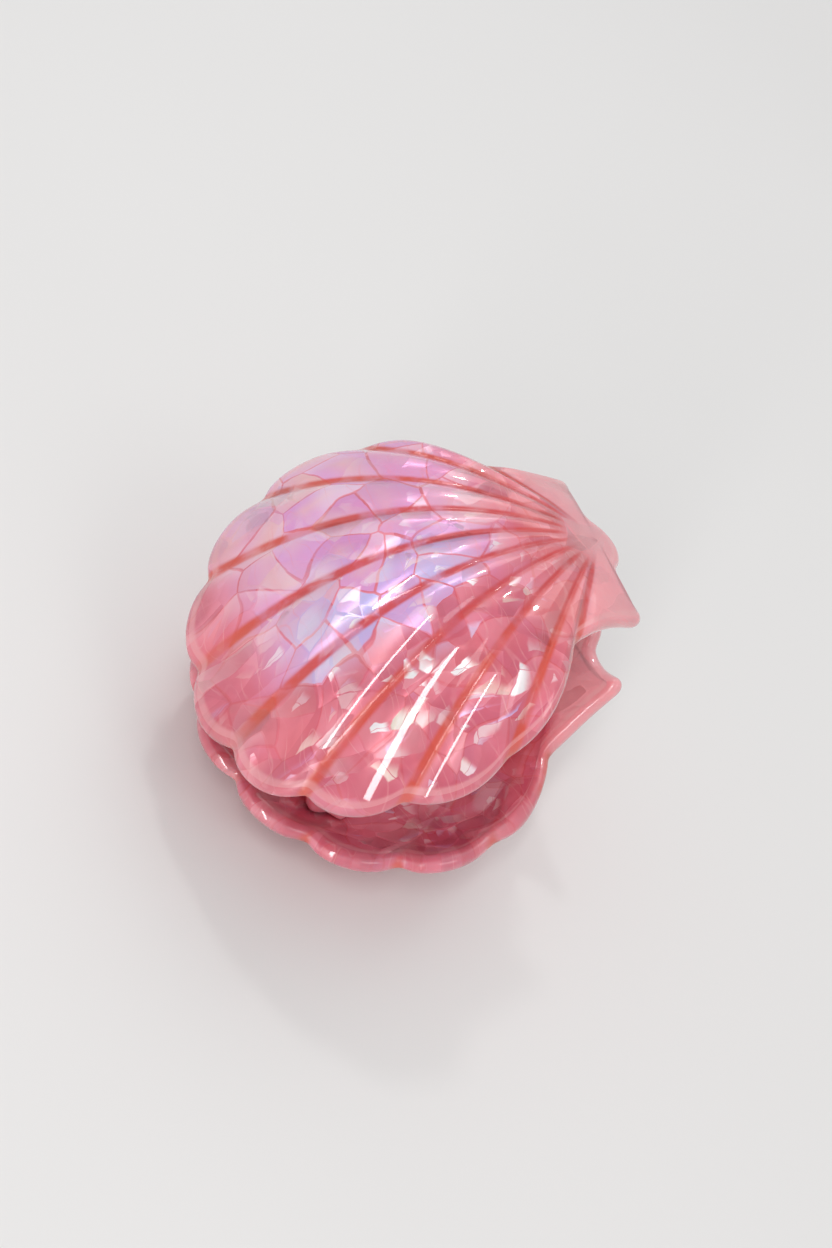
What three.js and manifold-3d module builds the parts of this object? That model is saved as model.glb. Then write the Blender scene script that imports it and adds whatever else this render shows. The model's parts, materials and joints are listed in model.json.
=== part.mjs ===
// A scallop-shell claw clip, lying on its lower shell, in millimetres with +Z up.
//
// Each half is a domed plate of cellulose acetate, cut as a scallop with two ears and an umbo. The ears and
// umbo are the finger handle. A comb of claw teeth and two hinge lugs are bonded inside each plate. The lugs
// share one steel pin, and the torsion spring round the pin holds the two fans shut.
//
// Both halves are drawn in one frame: u runs from the umbo's tip out to the fan, v runs along the hinge pin,
// and w is the height above the plane in which the closed halves meet.

import * as THREE from 'three';
import { mergeVertices } from 'three/addons/utils/BufferGeometryUtils.js';
import Module from 'manifold-3d';

const wasm = await Module();
wasm.setup();

// ---- Driving dimensions -------------------------------------------------------------------------------

// Plate and dome
const PLATE_THICKNESS = 2.8;
const APEX_U = 30.4; // the dome's highest place, from the umbo's tip
const APEX_HEIGHT = 25.5; // of the outer face, above the meeting plane
const DOME_RADIUS_ALONG = 28.3; // curvature from umbo to fan
const DOME_RADIUS_ACROSS = 42.3; // curvature from side to side
const DROP_SPAN = 30; // at this distance from the apex the dome falls by these further amounts:
const END_DROP = 0.17; // towards umbo and fan
const SIDE_DROP = 2.8; // towards each side
const CLOSING_SLOPE = 0.025; // how far the plates close on each other, per mm towards the fan

// Outline, in plan
const FAN_CENTRE_U = 35.9; // centre of the circle on which the fan's notches lie
const FAN_RADIUS = 27.6;
const RAY_PITCH = THREE.MathUtils.degToRad(11.95); // between carved rays, seen from the umbo
const RAYS_PER_SIDE = 4;
const LOBE_BULGE = 2.3;
const SIDE_NOTCH = { u: 15.2, v: 16.1 }; // where the last lobe meets the ear
const EAR_TIP = { u: 1.9, v: 12.9 };
const EAR_TIP_ROUND = 1.6;
const EAR_WAIST = 0.6; // how far an ear's two edges hollow
const UMBO_NOTCH = { u: 2.5, v: 4.4 };
const RAY_ORIGIN_U = 4; // the carved rays run together here

// Relief of the outer face
const RIB_HEIGHT = 0.5;
const GROOVE_DEPTH = 0.7;
const GROOVE_SHARE = 0.09; // a groove's half width, as a share of the pitch
const RIM_RELIEF = 0.5; // the share of the relief that is left on the rounded rim
const RELIEF_START = 0.1; // shares of a ray's length between which the relief grows to its full height
const RELIEF_FULL = 0.45;
const EDGE_ROUND = 0.95;

// Hinge
const HINGE_U = 19;
const PIN_RADIUS = 1;
const PIN_HEAD_RADIUS = 2.1;
const PIN_HEAD_THICKNESS = 0.9;
const CAP_WALL = 0.9;
const CAP_LENGTH = 2;
const LUG_WIDTH = 2.6;
const LUG_EYE_RADIUS = 3.1;
const LUG_ROOT_LENGTH = 11;
const LUG_SHOULDER = 0.72; // the share of the apex height at which a lug starts to draw in
const LUG_NECK = 0.5; // and the share at which it has reached the width of its eye
const END_CHAMFER = 0.45; // on the pin's head and the cap

// Spring
const WIRE_RADIUS = 0.5;
const COIL_RADIUS = 2.6; // to the wire's centre
const COIL_TURNS = 6;
const COIL_PITCH = 1.35;
const LEG_ANGLE = THREE.MathUtils.degToRad(36);

// Comb
const COMB_CENTRE_U = 33;
const COMB_RADIUS = 21.5;
const BAND_LENGTH = 5.4;
const BAND_THICKNESS = 1.6;
const TOOTH_PITCH = 8;
const TOOTH_WIDTH = 2.8;
const TOOTH_ROOT_LENGTH = 4.6;
const TOOTH_REACH = 4.2; // past the meeting plane
const TOOTH_HOOK = 3.6; // how far the tip leans towards the hinge
const TOOTH_BACK = 0.3; // the share of the reach at which a tooth's back turns towards its tip
const TOOTH_TIP_HALF = 0.75;
const TOOTH_EDGE_ROUND = 0.4;
const TEETH_UPPER = 5;
const TEETH_LOWER = 4;

// Clearances
const BOND_GAP = 0.25;
const RUNNING_GAP = 0.2;
const PRESS_GAP = 0.1;
const SIDE_GAP = 0.4; // between neighbours along the pin

// The closed clip leans towards its fan until its weight stands over the dome
const REST_TILT = THREE.MathUtils.degToRad(25.6);

// Fineness of the surfaces
const EAR_TIP_STEPS = 4;
const EAR_EDGE_STEPS = 4;
const TURNED_FACETS = 24;
const WIRE_STEPS = 100;
const WIRE_ARC_STEPS = 4;
const TOOTH_ARC_STEPS = 5;
const BAND_ARC_STEPS = 14;
const LUG_ARC_STEPS = 12;
const CEILING_PASSES = 6;
const MERGE_DISTANCE = 1e-5;

// Colours
const PLATE_COLOUR = 0xd9808f;
const COMB_COLOUR = 0xd98c98;
const STEEL_COLOUR = 0xc9c9cc;

// ---- The dome ------------------------------------------------------------------------------------------

// How far the dome has fallen at this distance from its apex: a parabola and a fourth power.
function fallAt(distance, radius, drop) {
  return distance ** 2 / (2 * radius) + drop * (distance / DROP_SPAN) ** 4;
}

function slopeAt(distance, radius, drop) {
  return distance / radius + (4 * drop * (distance / DROP_SPAN) ** 3) / DROP_SPAN;
}

function domeHeight(u, v) {
  const a = u - APEX_U;
  const fall = fallAt(a, DOME_RADIUS_ALONG, END_DROP) + fallAt(v, DOME_RADIUS_ACROSS, SIDE_DROP);
  return APEX_HEIGHT - CLOSING_SLOPE * a - fall;
}

// The point that lies depth under the outer face, measured square to it, below the plan point (u, v).
function domePoint(u, v, depth) {
  const slopeU = CLOSING_SLOPE + slopeAt(u - APEX_U, DOME_RADIUS_ALONG, END_DROP);
  const slopeV = slopeAt(v, DOME_RADIUS_ACROSS, SIDE_DROP);
  const normal = new THREE.Vector3(slopeU, slopeV, 1).normalize();
  return new THREE.Vector3(u, v, domeHeight(u, v)).addScaledVector(normal, -depth);
}

// Height of the plate's inner face over the plan point (u, v).
function ceiling(u, v) {
  let at = new THREE.Vector2(u, v);
  let point = domePoint(u, v, PLATE_THICKNESS);
  for (let pass = 0; pass < CEILING_PASSES; pass++) {
    at = new THREE.Vector2(at.x + u - point.x, at.y + v - point.y);
    point = domePoint(at.x, at.y, PLATE_THICKNESS);
  }
  return point.z;
}

// ---- The outline ---------------------------------------------------------------------------------------

const vec = (u, v) => new THREE.Vector2(u, v);

// Where a ray from the umbo's tip, at this angle from the axis, meets the fan circle.
function notchAt(angle) {
  const reach = Math.sqrt(FAN_RADIUS ** 2 - (FAN_CENTRE_U * Math.sin(angle)) ** 2);
  const length = FAN_CENTRE_U * Math.cos(angle) + reach;
  return vec(length * Math.cos(angle), length * Math.sin(angle));
}

// Points at the given shares of a circular arc from one point to another, which swells to its right.
function arcPoints(from, to, bulge, shares) {
  const chord = to.clone().sub(from);
  const half = chord.length() / 2;
  const radius = (half * half + bulge * bulge) / (2 * bulge);
  const out = vec(chord.y, -chord.x).normalize();
  const centre = from.clone().add(to).multiplyScalar(0.5).addScaledVector(out, bulge - radius);
  const start = from.clone().sub(centre).angle();
  const sweep = 2 * Math.asin(Math.min(1, half / radius));
  return shares.map((share) => {
    const angle = start + share * sweep;
    return vec(centre.x + radius * Math.cos(angle), centre.y + radius * Math.sin(angle));
  });
}

// Where a lobe's arc has its points, as shares of the way from notch to notch.
const LOBE_SHARES = [0, GROOVE_SHARE, 0.32, 0.68, 1 - GROOVE_SHARE];
const UMBO_SHARES = [0, 0.125, 0.25, 0.375, 0.5];

const mirrored = (point) => vec(point.x, -point.y);

// 1 on top of a rib, 0 on a groove's shoulder and -1 in its bottom.
function ribRelief(share) {
  const width = 1 - 2 * GROOVE_SHARE;
  return share === 0 ? -1 : Math.sin((Math.PI * (share - GROOVE_SHARE)) / width);
}

// Points between the ends of an ear's edge, which hollows towards the plate by its waist.
function hollowEdge(from, to, steps) {
  const run = to.clone().sub(from);
  const middle = from.clone().add(to).multiplyScalar(0.5);
  const control = middle.addScaledVector(vec(-run.y, run.x).normalize(), 2 * EAR_WAIST);
  return new THREE.QuadraticBezierCurve(from, control, to).getPoints(steps).slice(1, -1);
}

// One side of the outline, from the middle of the fan round to the umbo's tip. Each entry holds its plan
// point and relief, which is 1 on top of a rib, 0 on a groove's shoulder and -1 in its bottom.
function halfOutline() {
  const firstNotch = notchAt(RAY_PITCH / 2);
  const sideNotch = vec(SIDE_NOTCH.u, SIDE_NOTCH.v);
  const corners = [mirrored(firstNotch), firstNotch];
  for (let k = 1; k < RAYS_PER_SIDE; k++) corners.push(notchAt((k + 0.5) * RAY_PITCH));
  corners.push(sideNotch);
  const points = [];
  for (let k = 0; k + 1 < corners.length; k++) {
    const shares = k === 0 ? LOBE_SHARES.filter((share) => share > 0.5) : LOBE_SHARES;
    const lobe = arcPoints(corners[k], corners[k + 1], LOBE_BULGE, shares);
    lobe.forEach((point, i) => points.push({ point, relief: ribRelief(shares[i]) }));
  }
  points.push({ point: sideNotch, relief: -1 });

  const earTip = vec(EAR_TIP.u, EAR_TIP.v);
  const umboNotch = vec(UMBO_NOTCH.u, UMBO_NOTCH.v);
  const earStart = earTip.clone().addScaledVector(sideNotch.clone().sub(earTip).normalize(), EAR_TIP_ROUND);
  const earEnd = earTip.clone().addScaledVector(umboNotch.clone().sub(earTip).normalize(), EAR_TIP_ROUND);
  const tip = new THREE.QuadraticBezierCurve(earStart, earTip, earEnd).getPoints(EAR_TIP_STEPS);
  const umbo = arcPoints(umboNotch, mirrored(umboNotch), umboNotch.x, UMBO_SHARES);
  const outerEdge = hollowEdge(sideNotch, earStart, EAR_EDGE_STEPS);
  const innerEdge = hollowEdge(earEnd, umboNotch, EAR_EDGE_STEPS);
  [...outerEdge, ...tip, ...innerEdge, ...umbo].forEach((point) => points.push({ point, relief: 0 }));
  return points;
}

function fullOutline() {
  const half = halfOutline();
  const other = half.slice(0, -1).reverse().map(({ point, relief }) => ({ point: mirrored(point), relief }));
  const points = [...half, ...other];
  points.forEach((entry, k) => {
    const before = points[(k + points.length - 1) % points.length].point;
    const after = points[(k + 1) % points.length].point;
    const inA = entry.point.clone().sub(before).normalize();
    const inB = after.clone().sub(entry.point).normalize();
    entry.inward = vec(-inA.y - inB.y, inA.x + inB.x).normalize();
  });
  return points;
}

const OUTLINE = fullOutline();
const RINGS = [0.12, 0.25, 0.37, 0.49, 0.6, 0.71, 0.86, 1];

// ---- Mesh helpers --------------------------------------------------------------------------------------

const smoothstep = THREE.MathUtils.smoothstep;

// A closed mesh from two poles and the loops of points between them, each loop as long as the outline.
function loopsGeometry(topPole, loops, bottomPole) {
  const count = OUTLINE.length;
  const vertices = [topPole, ...loops.flat(), bottomPole];
  const last = vertices.length - 1;
  const at = (loop, k) => 1 + loop * count + (k % count);
  const faces = [];
  for (let k = 0; k < count; k++) {
    faces.push(0, at(0, k), at(0, k + 1));
    for (let loop = 0; loop + 1 < loops.length; loop++) {
      faces.push(at(loop, k), at(loop + 1, k), at(loop + 1, k + 1));
      faces.push(at(loop, k), at(loop + 1, k + 1), at(loop, k + 1));
    }
    faces.push(at(loops.length - 1, k), last, at(loops.length - 1, k + 1));
  }
  const geometry = new THREE.BufferGeometry();
  const numbers = vertices.flatMap((vertex) => vertex.toArray());
  geometry.setAttribute('position', new THREE.Float32BufferAttribute(numbers, 3));
  geometry.setIndex(faces);
  return geometry;
}

// A ring of the plate: a share of the way from the rays' origin to the outline, less an inset at the rim.
function plateRing(share, inset, depthOf) {
  return OUTLINE.map(({ point, inward, relief }) => {
    const edge = point.clone().addScaledVector(inward, inset);
    const u = RAY_ORIGIN_U + share * (edge.x - RAY_ORIGIN_U);
    const v = share * edge.y;
    return domePoint(u, v, depthOf(relief, share));
  });
}

function toManifold(geometry) {
  const bare = geometry.clone();
  bare.deleteAttribute('normal');
  bare.deleteAttribute('uv');
  const merged = mergeVertices(bare, MERGE_DISTANCE);
  return new wasm.Manifold(new wasm.Mesh({
    numProp: 3,
    vertProperties: new Float32Array(merged.attributes.position.array),
    triVerts: new Uint32Array(merged.index.array),
  }));
}

function toGeometry(solid) {
  const mesh = solid.getMesh();
  const geometry = new THREE.BufferGeometry();
  geometry.setAttribute('position', new THREE.Float32BufferAttribute(mesh.vertProperties, 3));
  geometry.setIndex(Array.from(mesh.triVerts));
  return geometry;
}

// Extrudes a shape drawn in u and w along v, from one value of v to another.
function extrudeAcross(shape, fromV, toV, options = {}) {
  const bevel = options.bevelEnabled ? options.bevelThickness : 0;
  const geometry = new THREE.ExtrudeGeometry(shape, {
    bevelEnabled: false,
    ...options,
    depth: toV - fromV - 2 * bevel,
  });
  return geometry.rotateX(Math.PI / 2).translate(0, toV - bevel, 0);
}

// ---- The shell plate -----------------------------------------------------------------------------------

function shellGeometry() {
  const relief = (height, share) => {
    const grown = smoothstep(share, RELIEF_START, RELIEF_FULL);
    return -grown * (height < 0 ? GROOVE_DEPTH * height : RIB_HEIGHT * height);
  };
  const outer = RINGS.map((share) => plateRing(share, EDGE_ROUND, relief));
  const corner = EDGE_ROUND * (1 - Math.SQRT1_2);
  const rim = [
    plateRing(1, corner, (height) => corner + RIM_RELIEF * relief(height, 1)),
    plateRing(1, 0, () => PLATE_THICKNESS / 2),
    plateRing(1, corner, () => PLATE_THICKNESS - corner),
  ];
  const inner = RINGS.map((share) => plateRing(share, EDGE_ROUND, () => PLATE_THICKNESS)).reverse();
  return loopsGeometry(
    domePoint(RAY_ORIGIN_U, 0, 0), [...outer, ...rim, ...inner], domePoint(RAY_ORIGIN_U, 0, PLATE_THICKNESS));
}

// Everything under the plate, down from a face that lies the given depth below the outer one.
function spaceUnder(depth) {
  const floor = -APEX_HEIGHT;
  const top = RINGS.map((share) => plateRing(share, EDGE_ROUND, () => depth));
  const bottom = top[top.length - 1].map((point) => new THREE.Vector3(point.x, point.y, floor));
  return toManifold(loopsGeometry(
    domePoint(RAY_ORIGIN_U, 0, depth), [...top, bottom], new THREE.Vector3(RAY_ORIGIN_U, 0, floor)));
}

const BOND_DEPTH = PLATE_THICKNESS + BOND_GAP;
const underPlate = spaceUnder(BOND_DEPTH);
const underBand = spaceUnder(BOND_DEPTH + BAND_THICKNESS);

// ---- Hinge lugs, pin, cap and spring ---------------------------------------------------------------------

const coilHalfLength = (COIL_TURNS * COIL_PITCH) / 2 + WIRE_RADIUS;
const innerLugV = coilHalfLength + SIDE_GAP;
const outerLugV = innerLugV + LUG_WIDTH + SIDE_GAP;
const pinHalfLength = outerLugV + LUG_WIDTH + SIDE_GAP;

// A lug whose root follows the plate and whose eye goes round the pin.
function lugGeometry(fromV, holeRadius) {
  const flank = LUG_ROOT_LENGTH / 2;
  const shoulder = LUG_SHOULDER * APEX_HEIGHT;
  const neck = LUG_NECK * APEX_HEIGHT;
  const shape = new THREE.Shape();
  shape.moveTo(HINGE_U - flank, APEX_HEIGHT);
  shape.lineTo(HINGE_U - flank, shoulder);
  shape.quadraticCurveTo(HINGE_U - LUG_EYE_RADIUS, neck, HINGE_U - LUG_EYE_RADIUS, 0);
  shape.absarc(HINGE_U, 0, LUG_EYE_RADIUS, Math.PI, 2 * Math.PI, false);
  shape.quadraticCurveTo(HINGE_U + LUG_EYE_RADIUS, neck, HINGE_U + flank, shoulder);
  shape.lineTo(HINGE_U + flank, APEX_HEIGHT);
  const hole = new THREE.Path();
  hole.absarc(HINGE_U, 0, holeRadius, 0, 2 * Math.PI, true);
  shape.holes.push(hole);
  const blank = toManifold(extrudeAcross(shape, fromV, fromV + LUG_WIDTH, { curveSegments: LUG_ARC_STEPS }));
  return toGeometry(blank.intersect(underPlate));
}

// Turns a profile of radius against distance along the pin, and lays it on the hinge axis.
function turnedGeometry(profile) {
  const points = profile.map(([radius, along]) => vec(radius, along));
  return new THREE.LatheGeometry(points, TURNED_FACETS).translate(HINGE_U, 0, 0);
}

function pinGeometry() {
  const head = pinHalfLength + PIN_HEAD_THICKNESS;
  return turnedGeometry([
    [0, -head],
    [PIN_HEAD_RADIUS - END_CHAMFER, -head],
    [PIN_HEAD_RADIUS, -head + END_CHAMFER],
    [PIN_HEAD_RADIUS, -pinHalfLength],
    [PIN_RADIUS, -pinHalfLength],
    [PIN_RADIUS, pinHalfLength + CAP_LENGTH - CAP_WALL - RUNNING_GAP],
    [0, pinHalfLength + CAP_LENGTH - CAP_WALL - RUNNING_GAP],
  ]);
}

function capGeometry() {
  const bore = PIN_RADIUS + PRESS_GAP;
  const outer = bore + CAP_WALL;
  const end = pinHalfLength + CAP_LENGTH;
  return turnedGeometry([
    [0, end - CAP_WALL],
    [bore, end - CAP_WALL],
    [bore, pinHalfLength],
    [outer, pinHalfLength],
    [outer, end - END_CHAMFER],
    [outer - END_CHAMFER, end],
    [0, end],
  ]);
}

// The spring's wire: up one leg, round the coil and out along the other leg.
class SpringWire extends THREE.Curve {
  constructor() {
    super();
    this.start = LEG_ANGLE - Math.PI / 2;
    this.sweep = COIL_TURNS * 2 * Math.PI - 2 * this.start;
    this.leg = this.legLength();
    this.coil = COIL_RADIUS * this.sweep;
    this.total = this.coil + 2 * this.leg;
  }

  coilPoint(share) {
    const angle = this.start + share * this.sweep;
    const v = (share - 0.5) * COIL_TURNS * COIL_PITCH;
    return new THREE.Vector3(HINGE_U + COIL_RADIUS * Math.cos(angle), v, COIL_RADIUS * Math.sin(angle));
  }

  // A leg stops where its wire would touch the handle's inner face.
  legLength() {
    const from = this.coilPoint(1);
    const clearance = (WIRE_RADIUS + BOND_GAP) / Math.cos(LEG_ANGLE);
    const step = 0.1;
    let length = 0;
    let room = Infinity;
    while (room > 0 && from.x - length * Math.cos(LEG_ANGLE) > WIRE_RADIUS) {
      length += step;
      const u = from.x - length * Math.cos(LEG_ANGLE);
      const w = from.z + length * Math.sin(LEG_ANGLE);
      room = ceiling(u, from.y) - w - clearance;
    }
    return length;
  }

  getPoint(t) {
    const at = t * this.total;
    if (at < this.leg) return this.legPoint(this.coilPoint(0), this.leg - at, -1);
    if (at > this.leg + this.coil) return this.legPoint(this.coilPoint(1), at - this.leg - this.coil, 1);
    return this.coilPoint((at - this.leg) / this.coil);
  }

  legPoint(from, length, side) {
    return new THREE.Vector3(
      from.x - length * Math.cos(LEG_ANGLE), from.y, from.z + side * length * Math.sin(LEG_ANGLE));
  }
}

function springGeometry() {
  const section = new THREE.Shape();
  section.absarc(0, 0, WIRE_RADIUS, 0, 2 * Math.PI, false);
  return new THREE.ExtrudeGeometry(section, {
    extrudePath: new SpringWire(),
    steps: WIRE_STEPS,
    curveSegments: WIRE_ARC_STEPS,
    bevelEnabled: false,
  });
}

// ---- Combs ---------------------------------------------------------------------------------------------

const combU = (v) => COMB_CENTRE_U + Math.sqrt(COMB_RADIUS ** 2 - v * v);

// One claw tooth, drawn in u and w: wide at the band, hooked towards the hinge and rounded at its tip.
function toothSolid(v) {
  const root = combU(v);
  const half = TOOTH_ROOT_LENGTH / 2;
  const tip = root - TOOTH_HOOK;
  const tipW = TOOTH_TIP_HALF - TOOTH_REACH;
  const shape = new THREE.Shape();
  shape.moveTo(root - half, APEX_HEIGHT);
  shape.lineTo(root - half, TOOTH_REACH);
  shape.quadraticCurveTo(root - half, 0, tip - TOOTH_TIP_HALF, tipW);
  shape.quadraticCurveTo(tip, tipW - 2 * TOOTH_TIP_HALF, tip + TOOTH_TIP_HALF, tipW);
  shape.quadraticCurveTo(root + half, -TOOTH_BACK * TOOTH_REACH, root + half, TOOTH_REACH);
  shape.lineTo(root + half, APEX_HEIGHT);
  const blank = extrudeAcross(shape, v - TOOTH_WIDTH / 2, v + TOOTH_WIDTH / 2, {
    curveSegments: TOOTH_ARC_STEPS,
    bevelEnabled: true,
    bevelSegments: 1,
    bevelThickness: TOOTH_EDGE_ROUND,
    bevelSize: TOOTH_EDGE_ROUND,
    bevelOffset: -TOOTH_EDGE_ROUND,
  });
  return toManifold(blank).intersect(underPlate);
}

function bandSolid(lastToothV) {
  const end = Math.asin((lastToothV + TOOTH_WIDTH) / COMB_RADIUS);
  const shape = new THREE.Shape();
  shape.absarc(COMB_CENTRE_U, 0, COMB_RADIUS + BAND_LENGTH / 2, -end, end, false);
  shape.absarc(COMB_CENTRE_U, 0, COMB_RADIUS - BAND_LENGTH / 2, end, -end, true);
  const geometry = new THREE.ExtrudeGeometry(shape, {
    depth: APEX_HEIGHT,
    bevelEnabled: false,
    curveSegments: BAND_ARC_STEPS,
  });
  return toManifold(geometry).intersect(underPlate).subtract(underBand);
}

function combGeometry(count) {
  const places = Array.from({ length: count }, (_, k) => (k - (count - 1) / 2) * TOOTH_PITCH);
  let comb = bandSolid(places[count - 1]);
  for (const v of places) comb = comb.add(toothSolid(v));
  return toGeometry(comb);
}

// ---- Materials and assembly ----------------------------------------------------------------------------

const acetate = (color) => new THREE.MeshStandardMaterial({ color, roughness: 0.12, metalness: 0 });
const steel = () => new THREE.MeshStandardMaterial({ color: STEEL_COLOUR, roughness: 0.3, metalness: 1 });

function piece(name, geometry, material) {
  const mesh = new THREE.Mesh(geometry, material);
  mesh.name = name;
  return mesh;
}

// One half: plate, comb and a lug on each side of the hinge.
function clipHalf(label, teeth, lugV, holeRadius) {
  const half = new THREE.Group();
  half.add(piece(`${label}_shell`, shellGeometry(), acetate(PLATE_COLOUR)));
  half.add(piece(`${label}_comb`, combGeometry(teeth), acetate(COMB_COLOUR)));
  half.add(piece(`${label}_lug_right`, lugGeometry(lugV, holeRadius), acetate(COMB_COLOUR)));
  half.add(piece(`${label}_lug_left`, lugGeometry(-lugV - LUG_WIDTH, holeRadius), acetate(COMB_COLOUR)));
  return half;
}

const clip = new THREE.Group();
clip.add(clipHalf('upper', TEETH_UPPER, innerLugV, PIN_RADIUS + RUNNING_GAP));

const lower = clipHalf('lower', TEETH_LOWER, outerLugV, PIN_RADIUS + PRESS_GAP);
lower.rotation.x = Math.PI;
clip.add(lower);

clip.add(piece('hinge_pin', pinGeometry(), steel()));
clip.add(piece('pin_cap', capGeometry(), steel()));
clip.add(piece('torsion_spring', springGeometry(), steel()));

// The fan points to -X, tilted down to where the clip rests, and the whole stands on the origin.
clip.rotation.set(0, -REST_TILT, Math.PI);
const group = new THREE.Group();
group.add(clip);
group.updateMatrixWorld(true);
const box = new THREE.Box3().setFromObject(group, true);
clip.position.set(-(box.min.x + box.max.x) / 2, -(box.min.y + box.max.y) / 2, -box.min.z);

export default group;
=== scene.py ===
"""A scallop claw clip in polished pearl acetate: fine plates, combs, lugs, pin and spring over the CAD frame.

Each half is worked out in the clip's own frame, in millimetres: u runs from the umbo's tip to the fan, v
along the hinge pin, and w up from the plane in which the closed halves meet. to_row() then leans it about the
pin and gives metres. The lower half is the same half turned over about u.
"""

import json
import math

import bpy
import mathutils
import numpy as np
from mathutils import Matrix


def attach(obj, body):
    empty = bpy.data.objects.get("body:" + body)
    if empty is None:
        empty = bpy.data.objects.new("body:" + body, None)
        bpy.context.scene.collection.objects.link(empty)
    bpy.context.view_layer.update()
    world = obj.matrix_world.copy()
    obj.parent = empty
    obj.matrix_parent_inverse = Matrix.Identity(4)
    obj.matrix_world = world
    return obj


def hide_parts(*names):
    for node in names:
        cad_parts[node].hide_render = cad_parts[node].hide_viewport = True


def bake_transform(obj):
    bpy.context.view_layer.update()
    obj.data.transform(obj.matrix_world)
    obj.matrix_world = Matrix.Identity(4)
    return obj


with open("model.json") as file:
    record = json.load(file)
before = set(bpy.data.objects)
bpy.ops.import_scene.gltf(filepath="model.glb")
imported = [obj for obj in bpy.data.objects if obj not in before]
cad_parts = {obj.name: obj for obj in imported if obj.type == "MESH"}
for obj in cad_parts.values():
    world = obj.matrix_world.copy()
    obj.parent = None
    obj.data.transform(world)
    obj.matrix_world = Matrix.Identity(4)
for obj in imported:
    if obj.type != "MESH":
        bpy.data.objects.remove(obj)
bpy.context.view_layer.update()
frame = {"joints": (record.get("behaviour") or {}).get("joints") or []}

MM = 0.001
HINGE = np.array(frame["joints"][0]["pos_m"])
UPPER, LOWER = 1, -1  # the sign that v and w take on each half

# ---- Sizes, in millimetres -----------------------------------------------------------------------------

REST_TILT = math.radians(25.6)
HINGE_U = 19.0

PLATE_THICKNESS = 2.8
APEX_U = 30.4
APEX_HEIGHT = 25.5
DOME_RADIUS_ALONG = 28.3
DOME_RADIUS_ACROSS = 42.3
DROP_SPAN = 30.0  # the distance from the apex at which the fourth power takes off END_DROP or SIDE_DROP
END_DROP = 0.17
SIDE_DROP = 2.8
CLOSING_SLOPE = 0.025  # the fall per millimetre towards the fan

FAN_CENTRE_U = 35.9
FAN_RADIUS = 27.6  # of the circle on which the lobes' notches lie
RAY_PITCH = math.radians(11.95)
RAYS_PER_SIDE = 4
LOBE_BULGE = 2.1
SIDE_NOTCH = np.array([15.2, 16.1])
EAR_TIP = np.array([1.9, 12.9])
EAR_TIP_ROUND = 1.6
EAR_WAIST = 0.6  # how far an ear's edges are hollowed
UMBO_NOTCH = np.array([2.5, 4.4])
RAY_ORIGIN = np.array([4.0, 0.0])
NOTCH_SOFTNESS = 0.45  # the spread of the blur along the outline
PLAN_UNIT = 10.0  # the plan map counts in centimetres

RIB_HEIGHT = 0.26
GROOVE_DEPTH = 0.46
GROOVE_HALF_WIDTH = 0.85  # of the bell that each groove cuts
GROOVE_WIDENING = 0.2  # how much wider it is out at the rim
STAIN_HALF_WIDTH = 0.26
STAIN_WIDENING = 0.9
RELIEF_START, RELIEF_FULL = 4.0, 16.0  # distances from the rays' origin over which the relief grows
STAIN_START, STAIN_FULL = 2.5, 8.0  # the same for the stain
UMBO_START, UMBO_FULL = 1.5, 7.0  # the same for the umbo's pale tone, which gives way
EAR_START, EAR_FULL = -0.04, 0.12  # bearings past the last ray, in radians, over which the ears' tone grows
INNER_RELIEF = 0.35  # the share of the relief that shows on the inner face
FACE_INSET = 0.17  # keeps the ribs' crowns inside the solid
RIM_BAND = 1.6  # the width over which the rim's painted paler band fades
EDGE_ROUND = 1.1  # how far in from the outline the rim starts to round

PIN_RADIUS = 1.0
PIN_HEAD_RADIUS = 2.1
PIN_HEAD_THICKNESS = 0.9
CAP_WALL = 0.9
CAP_LENGTH = 2.0
LUG_WIDTH = 2.6
LUG_EYE_RADIUS = 3.1
LUG_ROOT_LENGTH = 11.0
LUG_SHOULDER = 0.72 * APEX_HEIGHT
LUG_NECK = 0.5 * APEX_HEIGHT
LUG_SHOULDER_ROOM = 0.5  # kept between a lug's shoulder and the plate
LUG_EDGE_ROUND = 0.35
END_ROUND = 0.45
CAP_CHAMFER = 0.1
CREASE = 0.05  # between two rings that hold a sharp corner in smooth shading
AXIS_HOLE = 0.01  # radius of the ring that stands for a flat end's centre
WIRE_RADIUS = 0.5
COIL_RADIUS = 2.6
COIL_TURNS = 6
COIL_PITCH = 1.35
LEG_ANGLE = math.radians(36)
LEG_LIMIT, LEG_STEP = 25.0, 0.1  # the longest leg that is tried, and the step between two tries
LEG_GAP = 0.05  # between a leg's wire and the handle
WIRE_END = 0.15  # how far the wire's ends stand out to a point

COMB_CENTRE_U = 33.0
COMB_RADIUS = 21.5
BAND_LENGTH = 5.4
BAND_THICKNESS = 1.85
BAND_END = 0.06  # the share of the band's half length over which its end is domed
BAND_POWER = 5.0  # of the superellipse that is its section
LEAST_DOME = 1e-4  # keeps a domed end from closing to a point
TOOTH_PITCH = 8.0
TOOTH_WIDTH = 2.8
TOOTH_ROOT_LENGTH = 4.6
TOOTH_REACH = 4.2
TOOTH_HOOK = 3.6
TOOTH_BACK = 0.3 * TOOTH_REACH
TOOTH_TIP_HALF = 0.75
TOOTH_END = 0.14  # the share of a tooth over which its tip is domed
TOOTH_POWER = 3.2
TOOTH_TAPER, TAPER_START = 0.35, 0.2  # how much narrower the tip is, and the share at which that starts
TOOTH_SINK = 0.4  # how far its root runs up past the band's upper face, before it is cut
TOOTH_CUT = 0.2  # the depth in the band at which it is cut
TEETH = {UPPER: 5, LOWER: 4}

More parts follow.
